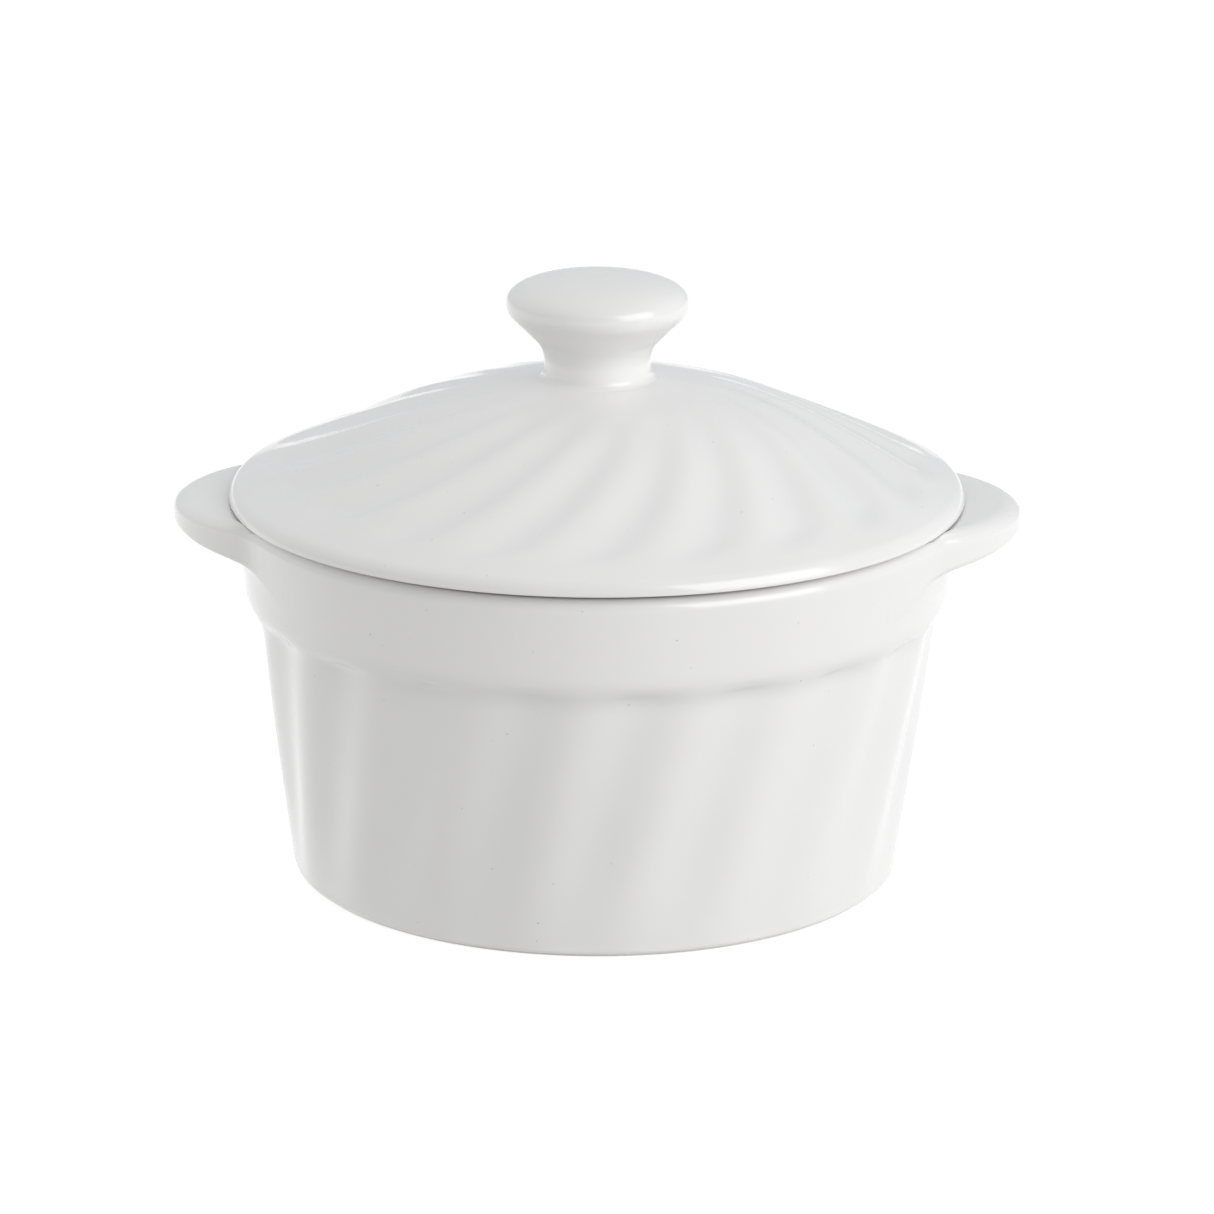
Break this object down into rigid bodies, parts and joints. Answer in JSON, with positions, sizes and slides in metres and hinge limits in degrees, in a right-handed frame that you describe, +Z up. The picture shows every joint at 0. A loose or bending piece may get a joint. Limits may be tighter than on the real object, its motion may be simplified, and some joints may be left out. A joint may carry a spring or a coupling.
{
  "type": "covered casserole dish",
  "caption": "Small round covered casserole dish in glazed ceramic, with a swirl-fluted wall and dome lid, a button knob and a solid lug handle on each side.",
  "frame": {"origin": "middle of the foot ring, on the surface the dish stands on", "axes": "+Z up through the knob; the two lug handles lie on the X axis; the front of the dish faces -Y"},
  "size_m": [0.144, 0.125, 0.1033],
  "materials": {
    "white_glaze": "gloss",
    "unglazed_foot": "matte"
  },
  "bodies": {
    "dish": {"dish_bowl": "white_glaze", "foot_ring": "unglazed_foot", "left_lug_handle": "white_glaze", "right_lug_handle": "white_glaze"},
    "lid_seat": {"lid_locating_ring": "white_glaze"},
    "lid": {"lid_dome": "white_glaze", "lid_knob": "white_glaze"}
  },
  "joints": [
    {"name": "lid_lift", "type": "slide", "parent": "dish", "child": "lid_seat", "axis": [0, 0, 1], "range_m": [0, 0.09]},
    {"name": "lid_turn", "type": "hinge", "parent": "lid_seat", "child": "lid", "pos_m": [0, 0, 0.0642], "axis": [0, 0, 1], "continuous": true}
  ]
}
